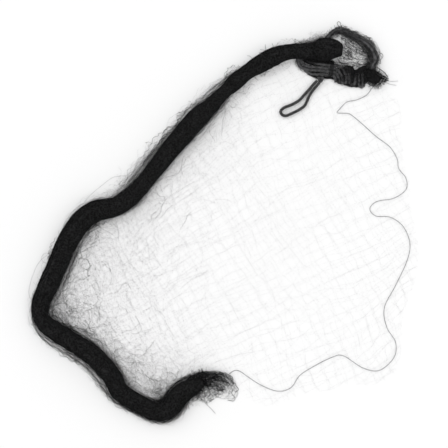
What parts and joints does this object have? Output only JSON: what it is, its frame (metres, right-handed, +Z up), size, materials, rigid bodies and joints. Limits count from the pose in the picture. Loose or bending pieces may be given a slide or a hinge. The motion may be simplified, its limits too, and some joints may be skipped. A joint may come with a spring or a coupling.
{
  "type": "mist net",
  "caption": "Fine knotted mist net, mostly gathered into a soft rope with part of its mesh spread flat, with shelf strings, a whipped hank of braided pole loops and one loop on its knot.",
  "frame": {"origin": "middle of the net's footprint, on the surface it lies on", "axes": "+Z up from the surface; +Y towards the head end with the pole loops; +X towards the free edge of the spread mesh"},
  "size_m": [0.4839, 0.5006, 0.0233],
  "materials": {
    "spread_mesh": "single fine knotted thread, matt",
    "gathered_mesh": "many layers of fine black thread, soft and matt with a faint sheen",
    "loose_mesh": "a few layers of fine black thread, half open",
    "loop_cord": "braided soft cord, matt",
    "shelf_string": "fine twisted string, matt"
  },
  "bodies": {
    "net": {"spread_panel": "spread_mesh", "gather_head": "gathered_mesh", "gather_neck": "gathered_mesh", "gather_shoulder": "gathered_mesh", "gather_back": "gathered_mesh", "gather_waist": "gathered_mesh", "gather_flank": "gathered_mesh", "gather_heel": "gathered_mesh", "gather_foot": "gathered_mesh", "gather_toe": "gathered_mesh", "tail_fan": "gathered_mesh", "tail_end": "shelf_string", "shelf_strings": "shelf_string", "edge_string": "shelf_string", "hoop": "loose_mesh", "veil": "loose_mesh", "apex_loop": "loose_mesh", "side_loop": "loose_mesh", "tuft_root": "gathered_mesh", "end_tuft": "gathered_mesh", "tuft_ends": "shelf_string", "hank_strand_1": "loop_cord", "hank_strand_2": "loop_cord", "hank_strand_3": "loop_cord", "hank_strand_4": "loop_cord", "hank_whipping": "shelf_string", "folded_loop_1": "loop_cord", "folded_loop_2": "loop_cord"},
    "knot": {"loop_knot": "loop_cord"},
    "loop": {"pole_loop": "loop_cord"}
  },
  "joints": [
    {"name": "loop_swing", "type": "hinge", "parent": "net", "child": "knot", "pos_m": [0.119, 0.179, 0.00465], "axis": [0, 0, 1], "range_deg": [-25, 35]},
    {"name": "loop_lift", "type": "hinge", "parent": "knot", "child": "loop", "pos_m": [0.119, 0.179, 0.00465], "axis": [-0.6691, 0.7431, 0], "range_deg": [0, 80]}
  ]
}
